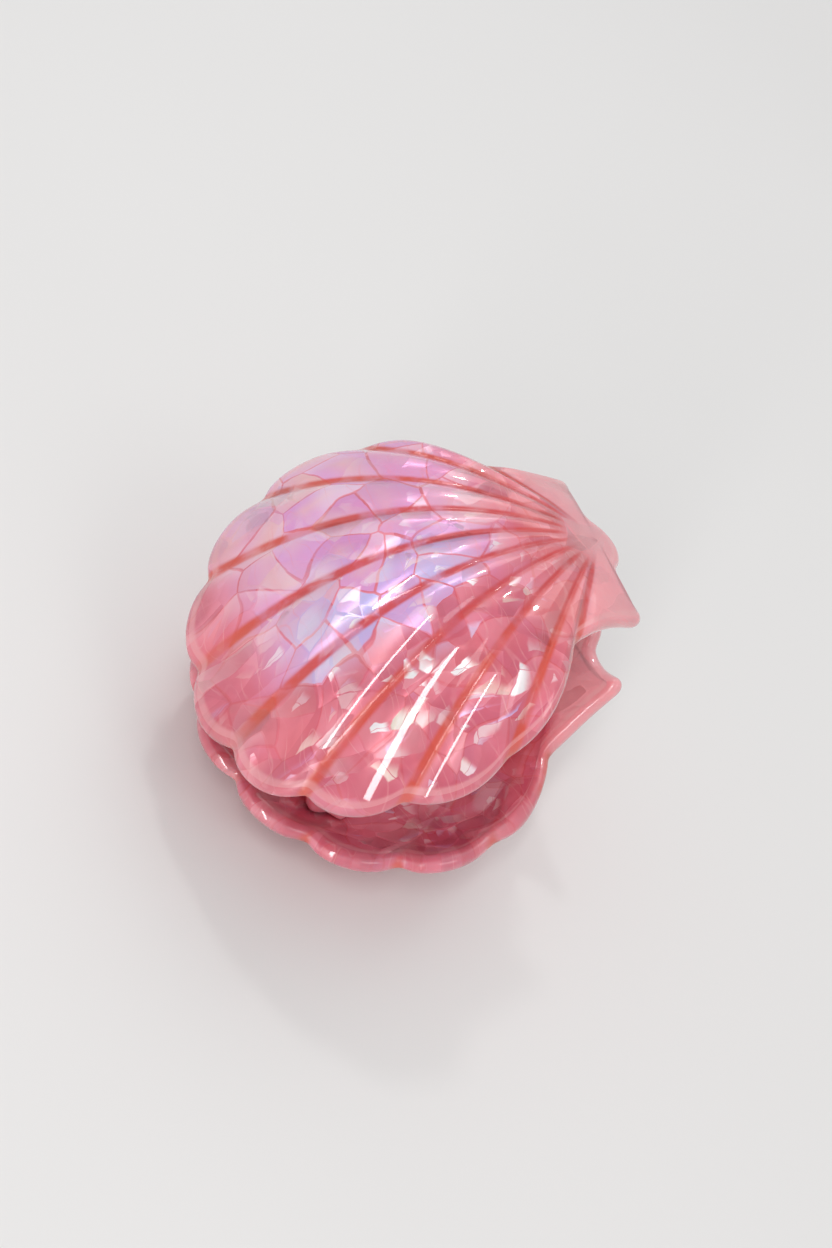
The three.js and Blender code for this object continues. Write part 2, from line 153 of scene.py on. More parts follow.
RUNNING_GAP = 0.2  # between the pin and the holes that turn on it, along the radius
PRESS_GAP = 0.1  # the same for the holes that hold it
SIDE_GAP = 0.4  # between neighbours along the pin
BOND_OVERLAP = 0.03  # how far combs and lugs sink into the plate
BOND_DEPTH = PLATE_THICKNESS - BOND_OVERLAP

# ---- Fineness, in points or steps ------------------------------------------------------------------------

OUTLINE_COUNT = 900
OUTLINE_ARC = 60  # on each of its arcs and curves, before they are spaced evenly
OUTER_RINGS, RIM_RINGS, INNER_RINGS = 72, 12, 26
BAND_COUNT, BAND_RINGS = 36, 90
TOOTH_COUNT, ROOT_RINGS, CLAW_RINGS = 32, 16, 40
LUG_ARC, LUG_SIDE, LUG_ROUND = 40, 12, 5
TURNED_COUNT, TURNED_ROUND = 64, 8
WIRE_COUNT, COIL_RINGS, LEG_RINGS = 16, 620, 60
CEILING_PASSES = 6


# ---- Arrays and meshes ---------------------------------------------------------------------------------

def turn_angles(count):
    """That many angles, evenly spaced round a full turn."""
    return np.linspace(0, 2 * math.pi, count, endpoint=False)


def circle(angle):
    """The unit circle's points at those angles."""
    return np.stack([np.cos(angle), np.sin(angle)], axis=-1)


def smoothstep(x, low, high):
    """Rises from 0 at low to 1 at high, level at both ends."""
    t = np.clip((x - low) / (high - low), 0, 1)
    return t * t * (3 - 2 * t)


def to_row(points, side=UPPER):
    """Clip frame in mm to the row frame in metres: v and w change sign on the lower half, then all leans."""
    u, v, w = points[..., 0] - HINGE_U, side * points[..., 1], side * points[..., 2]
    c, s = math.cos(REST_TILT), math.sin(REST_TILT)
    return HINGE + MM * np.stack([-c * u - s * w, -v, -s * u + c * w], axis=-1)


def grid_faces(rings, count, loop=False):
    """The four-sided faces between neighbouring closed rings of count points, and from the last ring to the
    first if loop."""
    rows = np.arange(rings if loop else rings - 1)[:, None]
    k = np.arange(count)[None, :]
    here, after = rows * count, (rows + 1) % rings * count
    turn = (k + 1) % count
    faces = np.stack([here + k, after + k, after + turn, here + turn], axis=-1)
    return faces.reshape(-1, 4)


def linked(name, data):
    """A new object with that data, in the scene."""
    made = bpy.data.objects.new(name, data)
    bpy.context.scene.collection.objects.link(made)
    return made


def mesh_piece(name, parts, attributes=None, plan=None):
    """One object from parts, each a pair of vertex and four-sided face arrays. A repeated corner makes a
    triangle."""
    starts = np.cumsum([0] + [len(v) for v, _ in parts])
    vertices = np.concatenate([v for v, _ in parts])
    faces = np.concatenate([f + s for (_, f), s in zip(parts, starts)])
    mesh = bpy.data.meshes.new(name)
    mesh.from_pydata(vertices.tolist(), [], [f[:3] if f[3] == f[2] else f for f in faces.tolist()])
    mesh.shade_smooth()
    for key, values in (attributes or {}).items():
        mesh.attributes.new(key, "FLOAT", "POINT").data.foreach_set("value", values.astype(np.float32))
    if plan is not None:
        corners = np.empty(len(mesh.loops), np.int32)
        mesh.loops.foreach_get("vertex_index", corners)
        layer = mesh.uv_layers.new(name="plan")
        layer.uv.foreach_set("vector", plan[corners].astype(np.float32).ravel())
    mesh.validate()
    return linked(name, mesh)


def closed_part(rings, start, end, flip=False):
    """Vertices and faces of a closed skin: a pole, rings of points, and another pole."""
    count = rings.shape[1]
    vertices = np.concatenate([rings.reshape(-1, 3), [start, end]])
    pole = len(vertices) - 2
    k = np.arange(count)
    turn = (k + 1) % count
    last = (len(rings) - 1) * count
    first_pole, last_pole = np.full(count, pole), np.full(count, pole + 1)
    first_fan = np.stack([first_pole, k, turn, turn], axis=-1)
    last_fan = np.stack([last + turn, last + k, last_pole, last_pole], axis=-1)
    faces = np.concatenate([first_fan, grid_faces(len(rings), count), last_fan])
    return vertices, reversed_faces(faces) if flip else faces


def skin(rings, flip=False):
    """A closed part whose poles are the middles of its first and last rings."""
    return closed_part(rings, rings[0].mean(axis=0), rings[-1].mean(axis=0), flip)


def reversed_faces(faces):
    """The same faces seen from the other side, with a triangle's repeated corner kept last."""
    triangle = faces[:, 3] == faces[:, 2]
    turned = faces[:, [0, 3, 2, 1]]
    turned[triangle] = faces[triangle][:, [0, 2, 1, 1]]
    return turned


# ---- The dome and the outline ----------------------------------------------------------------------------

def dome_point(u, v, depth):
    """From the apex the face falls as a parabola and a fourth power, along and across, with a slight slope.
    Depth is measured along the face's normal."""
    a, end, edge = u - APEX_U, (u - APEX_U) / DROP_SPAN, v / DROP_SPAN
    height = APEX_HEIGHT - CLOSING_SLOPE * a - a * a / (2 * DOME_RADIUS_ALONG) - END_DROP * end ** 4
    height = height - v * v / (2 * DOME_RADIUS_ACROSS) - SIDE_DROP * edge ** 4
    slope_u = -CLOSING_SLOPE - a / DOME_RADIUS_ALONG - 4 * END_DROP * end ** 3 / DROP_SPAN
    slope_v = -v / DOME_RADIUS_ACROSS - 4 * SIDE_DROP * edge ** 3 / DROP_SPAN
    length = np.sqrt(slope_u ** 2 + slope_v ** 2 + 1)
    back = depth / length
    return np.stack([u + back * slope_u, v + back * slope_v, height - back], axis=-1)


def ceiling(u, v, depth):
    """Height of the face at that depth under the plan point, found by stepping back along the normal."""
    at_u, at_v = u, v
    for _ in range(CEILING_PASSES):
        point = dome_point(at_u, at_v, depth)
        at_u, at_v = at_u + u - point[..., 0], at_v + v - point[..., 1]
    return dome_point(at_u, at_v, depth)[..., 2]


def arc(start, end, bulge, shares):
    """Points at those shares of the circular arc between two points that swells by bulge to its right."""
    chord = end - start
    half = np.hypot(*chord) / 2
    radius = (half * half + bulge * bulge) / (2 * bulge)
    out = np.array([chord[1], -chord[0]]) / (2 * half)
    centre = (start + end) / 2 + out * (bulge - radius)
    first = math.atan2(*(start - centre)[::-1])
    angle = first + shares * 2 * math.asin(min(1, half / radius))
    return centre + radius * circle(angle)


def bezier(start, control, end, shares):
    """A quadratic Bezier curve: weights (1-t)^2, 2t(1-t) and t^2 on its three points."""
    t = shares[:, None]
    return (1 - t) ** 2 * start + 2 * t * (1 - t) * control + t ** 2 * end


def notch_points():
    """Where the rays from the umbo's tip, half a pitch off the axis and then a pitch apart, meet the fan's
    circle."""
    angle = (np.arange(RAYS_PER_SIDE) + 0.5) * RAY_PITCH
    length = FAN_CENTRE_U * np.cos(angle) + np.sqrt(FAN_RADIUS ** 2 - (FAN_CENTRE_U * np.sin(angle)) ** 2)
    return length[:, None] * circle(angle)


NOTCHES = np.concatenate([notch_points(), [SIDE_NOTCH]])


def mirrored(points):
    """The same points on the other side of the clip's middle line."""
    return points * np.array([1, -1])


def hollow(start, end):
    """The control point that hollows an ear's edge to its left by the ear's waist."""
    run = (end - start) / np.hypot(*(end - start))
    return (start + end) / 2 + 2 * EAR_WAIST * np.array([-run[1], run[0]])


def scallop_outline():
    """The closed outline: lobe arcs, ears with Bezier tips and the umbo's arc. Its points are evenly spaced,
    and a Gaussian blur along it softens the notches."""
    t = np.linspace(0, 1, OUTLINE_ARC, endpoint=False)
    side = [arc(mirrored(NOTCHES[0]), NOTCHES[0], LOBE_BULGE, 0.5 + t / 2)]
    side += [arc(a, b, LOBE_BULGE, t) for a, b in zip(NOTCHES, NOTCHES[1:])]
    along, across = SIDE_NOTCH - EAR_TIP, UMBO_NOTCH - EAR_TIP
    ear_start = EAR_TIP + EAR_TIP_ROUND * along / np.hypot(*along)
    ear_end = EAR_TIP + EAR_TIP_ROUND * across / np.hypot(*across)
    side.append(bezier(SIDE_NOTCH, hollow(SIDE_NOTCH, ear_start), ear_start, t))
    side.append(bezier(ear_start, EAR_TIP, ear_end, t))
    side.append(bezier(ear_end, hollow(ear_end, UMBO_NOTCH), UMBO_NOTCH, t))
    side.append(arc(UMBO_NOTCH, mirrored(UMBO_NOTCH), UMBO_NOTCH[0], t / 2))
    half = np.concatenate(side)
    tip = np.zeros((1, 2))
    points = np.concatenate([half, tip, mirrored(half[:0:-1])])
    step = np.hypot(*(np.roll(points, -1, axis=0) - points).T)
    length = np.concatenate([[0], np.cumsum(step)])
    closed = np.concatenate([points, points[:1]])
    even = np.linspace(0, length[-1], OUTLINE_COUNT, endpoint=False)
    points = np.stack([np.interp(even, length, closed[:, k]) for k in range(2)], axis=-1)
    spread = NOTCH_SOFTNESS / (length[-1] / OUTLINE_COUNT)
    wave = np.fft.fftfreq(OUTLINE_COUNT) * 2 * math.pi
    blur = np.exp(-0.5 * (wave * spread) ** 2)[:, None]
    return np.fft.ifft(np.fft.fft(points, axis=0) * blur, axis=0).real


OUTLINE = scallop_outline()


def inward_normals():
    """Unit vectors into the plate, square to the outline at each of its points."""
    step = np.roll(OUTLINE, -1, axis=0) - np.roll(OUTLINE, 1, axis=0)
    step /= np.hypot(*step.T)[:, None]
    return np.stack([-step[:, 1], step[:, 0]], axis=-1)


INWARD = inward_normals()


def bell(distance, half_width, widening, out):
    """exp(-x^2 / 2), where x is the distance over a half width that grows with the way out."""
    return np.exp(-0.5 * (distance / half_width / (1 + widening * out / FAN_RADIUS)) ** 2)


def relief(u, v):
    """Ribs and grooves of the outer face. Between two notch rays a rib swells as a sine of its phase. On each
    ray a groove cuts in as a bell, and a narrower bell is its stain. Both grow with the distance from the
    rays' origin. Returns the lift, the stain, and 1 on the ears and the umbo."""
    out = np.hypot(u - RAY_ORIGIN[0], v)
    bearing = np.abs(np.arctan2(v, u - RAY_ORIGIN[0]))
    rays = np.arctan2(NOTCHES[:, 1], NOTCHES[:, 0] - RAY_ORIGIN[0])
    knots = np.concatenate([[-rays[0]], rays])
    place = np.interp(bearing, knots, np.arange(len(knots)), right=len(knots) - 1)
    phase = place - np.floor(place)
    nearest = np.abs(bearing[..., None] - rays).min(axis=-1) * out
    groove = bell(nearest, GROOVE_HALF_WIDTH, GROOVE_WIDENING, out)
    stain = bell(nearest, STAIN_HALF_WIDTH, STAIN_WIDENING, out)
    rib = np.where(bearing > rays[-1], 0, np.sin(math.pi * phase))
    lift = smoothstep(out, RELIEF_START, RELIEF_FULL) * (RIB_HEIGHT * rib - GROOVE_DEPTH * groove)
    ear = smoothstep(bearing, rays[-1] + EAR_START, rays[-1] + EAR_FULL)
    umbo = 1 - smoothstep(out, UMBO_START, UMBO_FULL)
    return lift, stain * smoothstep(out, STAIN_START, STAIN_FULL), np.maximum(ear, umbo)


# ---- Plates ----------------------------------------------------------------------------------------------

def plate_piece(name, side):
    """The plate's skin on rings about the rays' origin: outer face with its relief, half-ellipse rim, inner
    face. A face's rings crowd towards its rim, at shares of the way out that follow a sine."""
    def ring(share, inset, lift, depth):
        edge = OUTLINE + INWARD * inset
        plan = RAY_ORIGIN + share * (edge - RAY_ORIGIN)
        raised, stain, ear = relief(plan[:, 0], plan[:, 1])
        points = dome_point(plan[:, 0], plan[:, 1], depth + FACE_INSET - lift * raised)
        return points, stain * lift, ear, plan

    shares = np.sin(np.linspace(0, math.pi / 2, OUTER_RINGS + 1)[1:])
    inner_shares = np.sin(np.linspace(math.pi / 2, 0, INNER_RINGS + 1)[:-1])
    reach = np.hypot(*(OUTLINE - RAY_ORIGIN).T)
    around = np.linspace(0, math.pi, RIM_RINGS + 2)[1:-1]
    made = [ring(share, EDGE_ROUND, 1, 0) for share in shares]
    made += [ring(1, EDGE_ROUND * (1 - math.sin(a)), 1 - (1 - INNER_RELIEF) * math.sin(a / 2) ** 2,
                  (PLATE_THICKNESS - FACE_INSET) / 2 * (1 - math.cos(a)))
             for a in around]
    made += [ring(share, EDGE_ROUND, INNER_RELIEF, PLATE_THICKNESS - FACE_INSET) for share in inner_shares]
    rings, stain, ear, plan = (np.array(values) for values in zip(*made))
    top, bottom = dome_point(*RAY_ORIGIN, FACE_INSET), dome_point(*RAY_ORIGIN, PLATE_THICKNESS)
    vertices, faces = closed_part(rings, top, bottom)
    rim = np.concatenate([1 - smoothstep(np.outer(1 - shares, reach), 0, RIM_BAND),
                          np.ones((RIM_RINGS, OUTLINE_COUNT)),
                          1 - smoothstep(np.outer(1 - inner_shares, reach), 0, RIM_BAND)])
    poles = np.zeros(2)
    attributes = {"stain": stain, "ear": ear, "rim": rim}
    attributes = {key: np.concatenate([values.ravel(), poles]) for key, values in attributes.items()}
    plan = np.concatenate([plan.reshape(-1, 2), [RAY_ORIGIN, RAY_ORIGIN]]) / PLAN_UNIT
    plan[:, 1] *= side
    return mesh_piece(name, [(to_row(vertices, side), faces)], attributes, plan)


# ---- Combs -----------------------------------------------------------------------------------------------

def superellipse(count, power):
    """A rounded square of half width 1: cos and sin of the angle, each raised to 2/power, its sign kept."""
    c, s = circle(turn_angles(count)).T
    return np.sign(c) * np.abs(c) ** (2 / power), np.sign(s) * np.abs(s) ** (2 / power)


def domed(t, share):
    """1 along a piece, falling as a quarter of an ellipse over the last share before t is 1."""
    return np.sqrt(np.clip(1 - ((t - 1 + share) / share).clip(0) ** 2, LEAST_DOME, 1))


def comb_u(v):
    """Where the comb's arc lies along the clip."""
    return COMB_CENTRE_U + np.sqrt(COMB_RADIUS ** 2 - v * v)


def band_part(last_tooth_v):
    """A rounded bar bent to the comb's arc under the plate, its ends domed. Its radius and its depth follow a
    superellipse."""
    end = math.asin((last_tooth_v + TOOTH_WIDTH) / COMB_RADIUS)
    across, deep = superellipse(BAND_COUNT, BAND_POWER)
    t = np.linspace(-1, 1, BAND_RINGS)
    size = domed(np.abs(t), BAND_END)
    radius = COMB_RADIUS + BAND_LENGTH / 2 * across * size[:, None]
    angle = end * t[:, None] + 0 * across
    u, v = COMB_CENTRE_U + radius * np.cos(angle), radius * np.sin(angle)
    depth = BOND_DEPTH + BAND_THICKNESS / 2 * (1 + deep * size[:, None])
    return skin(dome_point(u, v, depth), flip=True)


def tooth_part(v):
    """A claw with a domed tip. Its two edges are Bezier curves in u and w, and a superellipse section spans
    them."""
    root, half = comb_u(v), TOOTH_ROOT_LENGTH / 2
    tip, tip_w = root - TOOTH_HOOK, TOOTH_TIP_HALF - TOOTH_REACH
    drop = ceiling(root, v, BOND_DEPTH) - TOOTH_REACH
    t = np.concatenate([np.linspace(-1, 0, ROOT_RINGS, endpoint=False), np.linspace(0, 1, CLAW_RINGS)])
    bend = t.clip(0)
    back = bezier(np.array([root - half, TOOTH_REACH]), np.array([root - half, 0]),
                  np.array([tip - TOOTH_TIP_HALF, tip_w]), bend)
    front = bezier(np.array([root + half, TOOTH_REACH]), np.array([root + half, -TOOTH_BACK]),
                   np.array([tip + TOOTH_TIP_HALF, tip_w]), bend)
    rise = (-t).clip(0) * (drop + TOOTH_SINK)
    back[:, 1] += rise
    front[:, 1] += rise
    middle, reach = (back + front) / 2, (front - back) / 2
    rounding = domed(t, TOOTH_END)[:, None]
    width = TOOTH_WIDTH / 2 * (1 - TOOTH_TAPER * smoothstep(t, TAPER_START, 1))[:, None]
    across, wide = superellipse(TOOTH_COUNT, TOOTH_POWER)
    rings = np.stack([
        middle[:, :1] + reach[:, :1] * across * rounding,
        v + width * wide * rounding,
        middle[:, 1:] + reach[:, 1:] * across * rounding], axis=-1)
    limit = ceiling(rings[..., 0], rings[..., 1], BOND_DEPTH + TOOTH_CUT)
    rings[..., 2] = np.minimum(rings[..., 2], limit)
    return skin(rings, flip=True)


def comb_piece(name, side):
    """The band with its teeth, evenly spaced about the clip's middle."""
    count = TEETH[side]
    places = (np.arange(count) - (count - 1) / 2) * TOOTH_PITCH
    parts = [band_part(places[-1])] + [tooth_part(v) for v in places]
    return mesh_piece(name, [(to_row(v, side), f) for v, f in parts])


# ---- Hinge -------------------------------------------------------------------------------------------------

COIL_HALF = COIL_TURNS * COIL_PITCH / 2 + WIRE_RADIUS
INNER_LUG_V = COIL_HALF + SIDE_GAP
OUTER_LUG_V = INNER_LUG_V + LUG_WIDTH + SIDE_GAP
PIN_HALF = OUTER_LUG_V + LUG_WIDTH + SIDE_GAP


def lug_piece(name, side, from_v, hole_radius):
    """A ring-shaped skin. Its section runs across the lug's edge, face and hole. Its outer line is the eye's
    half circle, Bezier flanks and a root that follows the plate's inner face."""
    t = np.linspace(0, 1, LUG_ARC, endpoint=False)
    flank, eye = LUG_ROOT_LENGTH / 2, LUG_EYE_RADIUS
    middle = from_v + LUG_WIDTH / 2

    def at(u, w):
        return np.array([HINGE_U + u, w])

    left_top, right_top = (ceiling(HINGE_U + u, middle, BOND_DEPTH) for u in (-flank, flank))
    shoulder = min(LUG_SHOULDER, left_top - LUG_SHOULDER_ROOM)
    below = at(0, 0) + eye * circle(math.pi * (1 + t))
    rising = bezier(at(eye, 0), at(eye, LUG_NECK), at(flank, LUG_SHOULDER), t)
    right_edge = np.linspace(LUG_SHOULDER, right_top, LUG_SIDE, endpoint=False)
    right_side = np.stack([np.full(LUG_SIDE, HINGE_U + flank), right_edge], axis=-1)
    top_u = HINGE_U + flank - 2 * flank * t
    top = np.stack([top_u, ceiling(top_u, middle, BOND_DEPTH)], axis=-1)
    falling = bezier(at(-flank, shoulder), at(-eye, LUG_NECK), at(-eye, 0), t)
    outer = np.concatenate([below, rising, right_side, top, falling])
    bearing = np.arctan2(outer[:, 1], outer[:, 0] - HINGE_U)
    hole = at(0, 0) + hole_radius * circle(bearing)
    towards = (hole - outer) / np.hypot(*(hole - outer).T)[:, None]

    def ring(line, v):
        return np.stack([line[:, 0], np.full(len(line), middle + v), line[:, 1]], axis=-1)

    turn = np.linspace(0, math.pi / 2, LUG_ROUND)
    inset = LUG_EDGE_ROUND * (1 - np.cos(turn))
    across = LUG_WIDTH / 2 - LUG_EDGE_ROUND * (1 - np.sin(turn))
    rings = [ring(outer + towards * i, -v) for v, i in zip(across[::-1], inset[::-1])]
    rings += [ring(outer + towards * i, v) for v, i in zip(across, inset)]
    rings = np.array(rings + [ring(hole, LUG_WIDTH / 2), ring(hole, -LUG_WIDTH / 2)])
    faces = grid_faces(len(rings), rings.shape[1], loop=True)
    return mesh_piece(name, [(to_row(rings.reshape(-1, 3), side), reversed_faces(faces))])


def turned_part(radius, along):
    """Turns a profile of radius against distance along the pin about the hinge axis, and closes both ends."""
    angle = turn_angles(TURNED_COUNT)[None, :]
    r, v = np.array(radius)[:, None], np.array(along)[:, None]
    rings = np.stack([HINGE_U + r * np.cos(angle), v + 0 * angle, r * np.sin(angle)], axis=-1)
    return skin(rings)


def quarter(radius_from, radius_to, along_from, along_to):
    """A quarter ellipse of the profile, leaving along the radius and arriving along the pin."""
    turn = np.linspace(0, math.pi / 2, TURNED_ROUND)
    return (radius_from + (radius_to - radius_from) * np.sin(turn),
            along_to + (along_from - along_to) * np.cos(turn))


def pin_piece():
    """The pin's low domed head and its shank."""
    head = PIN_HALF + PIN_HEAD_THICKNESS
    dome_r, dome_v = quarter(PIN_HEAD_RADIUS - END_ROUND, PIN_HEAD_RADIUS, -head, -head + END_ROUND)
    end = PIN_HALF + CAP_LENGTH - CAP_WALL - RUNNING_GAP
    radius = np.concatenate([[AXIS_HOLE], dome_r, [PIN_HEAD_RADIUS] * 2, [PIN_RADIUS] * 4, [AXIS_HOLE]])
    along = np.concatenate([[-head], dome_v, [-PIN_HALF - CREASE, -PIN_HALF],
                            [-PIN_HALF, -PIN_HALF + CREASE, 0], [end, end]])
    v, f = turned_part(radius, along)
    return mesh_piece("hinge_pin_turned", [(to_row(v), f)])


def cap_piece():
    """The cap's blind bore and its rounded end."""
    bore = PIN_RADIUS + PRESS_GAP
    outer = bore + CAP_WALL
    end = PIN_HALF + CAP_LENGTH
    dome_r, dome_v = quarter(outer - END_ROUND, outer, end, end - END_ROUND)
    radius = np.concatenate([[AXIS_HOLE, bore, bore, outer - CAP_CHAMFER, outer], dome_r[::-1], [AXIS_HOLE]])
    along = np.concatenate([[end - CAP_WALL] * 2, [PIN_HALF] * 2, [PIN_HALF + CAP_CHAMFER],
                            dome_v[::-1], [end]])
    v, f = turned_part(radius, along)
    return mesh_piece("pin_cap_turned", [(to_row(v), f)])


def spring_path():
    """Up one leg, round the coil and out along the other. A leg leaves square to the coil's last radius."""
    start = LEG_ANGLE - math.pi / 2
    sweep = 2 * math.pi * COIL_TURNS - 2 * start
    share = np.linspace(0, 1, COIL_RINGS)
    angle = start + share * sweep
    coil = np.stack([HINGE_U + COIL_RADIUS * np.cos(angle), (share - 0.5) * COIL_TURNS * COIL_PITCH,
                     COIL_RADIUS * np.sin(angle)], axis=-1)
    length = np.linspace(0, leg_length(coil[-1]), LEG_RINGS)[1:, None]
    out = np.array([-math.cos(LEG_ANGLE), 0, math.sin(LEG_ANGLE)])
    first_leg = coil[0] + length[::-1] * out * np.array([1, 1, -1])
    return np.concatenate([first_leg, coil, coil[-1] + length * out])


def leg_length(start):
    """How far a leg runs before its wire meets the handle's inner face."""
    length = np.arange(LEG_STEP, LEG_LIMIT, LEG_STEP)
    u = start[0] - length * math.cos(LEG_ANGLE)
    w = start[2] + length * math.sin(LEG_ANGLE) + (WIRE_RADIUS + LEG_GAP) / math.cos(LEG_ANGLE)
    return length[np.argmax(ceiling(u, start[1], PLATE_THICKNESS) <= w)]


def spring_piece():
    """A round wire carried along the spring's path, with its section square to the path."""
    path = spring_path()
    step = np.gradient(path, axis=0)
    step /= np.linalg.norm(step, axis=1)[:, None]
    side = np.array([0.0, 1.0, 0.0]) - step * step[:, 1:2]
    side /= np.linalg.norm(side, axis=1)[:, None]
    other = np.cross(step, side)
    angle = turn_angles(WIRE_COUNT)[None, :, None]
    rings = path[:, None] + WIRE_RADIUS * (side[:, None] * np.cos(angle) + other[:, None] * np.sin(angle))
    v, f = closed_part(rings, path[0] - WIRE_END * step[0], path[-1] + WIRE_END * step[-1])
    return mesh_piece("spring_wire", [(to_row(v), f)])


# ---- Materials -------------------------------------------------------------------------------------------

def linear(*srgb):
    """A display colour of 0 to 255 as the shader's linear colour."""
    c = np.array(srgb) / 255
    return (*np.where(c <= 0.04045, c / 12.92, ((c + 0.055) / 1.055) ** 2.4).tolist(), 1.0)


COLOR_A, COLOR_B, COLOR_OUT = 6, 7, 2  # the mix node's sockets for colours


class Finish:
    """A material's node tree, with a short call for each kind of node that the finishes use."""

    def __init__(self, name):
        self.material = bpy.data.materials.new(name)
        self.material.use_nodes = True
        self.tree = self.material.node_tree
        self.tree.nodes.clear()
        self.shader = self.node("ShaderNodeBsdfPrincipled")
        output = self.node("ShaderNodeOutputMaterial")
        self.tree.links.new(self.shader.outputs[0], output.inputs["Surface"])

    def node(self, kind, *values, **settings):
        """A new node with those settings, and with the values on its first sockets."""
        made = self.tree.nodes.new(kind)
        for key, value in settings.items():
            setattr(made, key, value)
        for socket, value in zip(made.inputs, values):
            self.put(socket, value)
        return made

    def put(self, socket, value):
        """Links the socket to another one, or sets its value."""
        if isinstance(value, bpy.types.NodeSocket):
            self.tree.links.new(value, socket)
        else:
            socket.default_value = value

    def math(self, operation, *values):
        return self.node("ShaderNodeMath", *values, operation=operation).outputs[0]

    def times(self, product, *values):
        """The product of two or more values."""
        for value in values:
            product = self.math("MULTIPLY", product, value)
        return product

    def highest(self, *values):
        return self.math("MAXIMUM", *values)

    def vector(self, operation, *values, out=0):
        return self.node("ShaderNodeVectorMath", *values, operation=operation).outputs[out]

    def pushed(self, vector, by, factor):
        """The vector plus factor times another."""
        made = self.node("ShaderNodeVectorMath", by, operation="SCALE")
        self.put(made.inputs["Scale"], factor)
        return self.vector("ADD", vector, made.outputs[0])

    def centred(self, color):
        """A random colour, each of its numbers moved from between 0 and 1 to between -0.5 and 0.5."""
        return self.vector("SUBTRACT", color, (0.5, 0.5, 0.5))

    def step(self, value, low, high, to_low=0.0, to_high=1.0):
        """A smooth step from to_low, at the value low, to to_high, at high. low may be the larger."""
        numbers = value, low, high, to_low, to_high
        return self.node("ShaderNodeMapRange", *numbers, interpolation_type="SMOOTHSTEP").outputs[0]

    def mix(self, factor, a, b):
        """Colour a where the factor is 0, b where it is 1."""
        made = self.node("ShaderNodeMix", data_type="RGBA")
        self.put(made.inputs["Factor"], factor)
        self.put(made.inputs[COLOR_A], a)
        self.put(made.inputs[COLOR_B], b)
        return made.outputs[COLOR_OUT]

    def ramp(self, value, *stops):
        """Colours between the stops, each a place from 0 to 1 and its colour."""
        made = self.node("ShaderNodeValToRGB", value)
        elements = made.color_ramp.elements
        while len(elements) < len(stops):
            elements.new(1.0)
        for element, (place, color) in zip(elements, stops):
            element.position = place
            element.color = color
        return made.outputs[0]

    def noise(self, vector, scale, detail=2.0, roughness=0.5, out="Fac"):
        made = self.node("ShaderNodeTexNoise", vector)
        for key, value in (("Scale", scale), ("Detail", detail), ("Roughness", roughness)):
            made.inputs[key].default_value = value
        return made.outputs[out]

    def cells(self, vector, scale, feature="F1"):
        """Flat Voronoi cells, so many to the centimetre."""
        made = self.node("ShaderNodeTexVoronoi", vector, voronoi_dimensions="2D", feature=feature)
        made.inputs["Scale"].default_value = scale
        return made.outputs

    def moved(self, vector, turn=0.0, stretch=(1, 1, 1), shift=(0, 0, 0)):
        """The vector stretched, turned about its third axis and shifted."""
        made = self.node("ShaderNodeMapping", vector)
        made.inputs["Rotation"].default_value = (0, 0, turn)
        made.inputs["Scale"].default_value = stretch
        made.inputs["Location"].default_value = shift
        return made.outputs[0]

    def parts(self, vector):
        return self.node("ShaderNodeSeparateXYZ", vector).outputs

    def attribute(self, name):
        return self.node("ShaderNodeAttribute", attribute_name=name).outputs["Fac"]

    def object_place(self):
        return self.node("ShaderNodeTexCoord").outputs["Object"]

    def bump(self, height, distance, strength=1.0):
        """A normal that follows the height, of which 1 stands for that distance in metres."""
        made = self.node("ShaderNodeBump")
        made.inputs["Strength"].default_value = strength
        made.inputs["Distance"].default_value = distance
        self.put(made.inputs["Height"], height)
        return made.outputs[0]

    def set(self, **values):
        """Sets or links the shader's inputs, each named with _ for a space."""
        for key, value in values.items():
            self.put(self.shader.inputs[key.replace("_", " ")], value)


# Colours, as they show.
LILAC = linear(228, 170, 222)
LAVENDER = linear(200, 170, 238)
VIOLET = linear(220, 146, 210)
SKY = linear(188, 194, 244)
PINK = linear(238, 166, 198)
PEACH = linear(242, 192, 192)
# The flakes' own white, and also the colour of painted highlights and glints.
PEARL_AND_HIGHLIGHT_WHITE = linear(255, 246, 248)
# A painted glint's tone.
GLINT_CREAM = linear(255, 234, 214)
ROSE = linear(222, 92, 110)
ROSE_PALE = linear(240, 142, 156)
ROSE_DEEP = linear(200, 66, 86)
ROSE_BODY = linear(226, 134, 160)
SALMON = linear(216, 96, 98)
CORAL = linear(206, 68, 70)
ORANGE = linear(216, 88, 58)
EAR_BLUSH = linear(242, 160, 166)
# Pale pink of the film's threads, and the painted light at the rim's thin edge.
PALE_THREAD_AND_RIM_LIGHT = linear(234, 170, 172)
PIN_STEEL = linear(226, 226, 228)
WIRE_STEEL = linear(212, 212, 216)
STEEL_SHADE = linear(168, 164, 160)


# The pearl's pattern, in centimetres on the plan. Each pair is where a thing begins and where it is full: IN
# comes from the umbo, OUT from the fan's rim, and ACROSS from one side of the clip.
FILM_IN, FILM_OUT, FILM_AT_RIM = (1.4, 2.6), (5.8, 4.9), 0.1
LILAC_ACROSS = (1.1, -0.1)
BLUE_IN, BLUE_OUT = (2.0, 3.0), (5.8, 4.8)
BLUE_ACROSS_LEFT, BLUE_ACROSS_RIGHT = (-0.6, 0.3), (1.3, 0.6)
# Where the chips are painted bright as glints, which are painted highlights.
GLINT_IN, GLINT_OUT, GLINT_AT_RIM = (1.4, 2.4), (5.9, 4.7), 0.25
GLINT_ACROSS, GLINT_AT_LEFT = (-1.8, 0.8), 0.12
SALMON_OUT = (2.6, 1.2)
ORANGE_IN, ORANGE_ACROSS = (4.4, 6.2), (0.8, 1.6)
STAIN_OUT, STAIN_AT_RIM = (6.3, 5.7), 0.4
SHEET_DRIFT, FLAKE_DRIFT = 0.9, 0.5  # how far a zone's border strays from shard to shard
BROAD_WARP, FINE_WARP, CRUMPLE = 0.7, 0.045, 0.05  # how far noise bends the shards' edges
SEAM = (0.001, 0.02)  # the narrowest and widest rose line between sheets
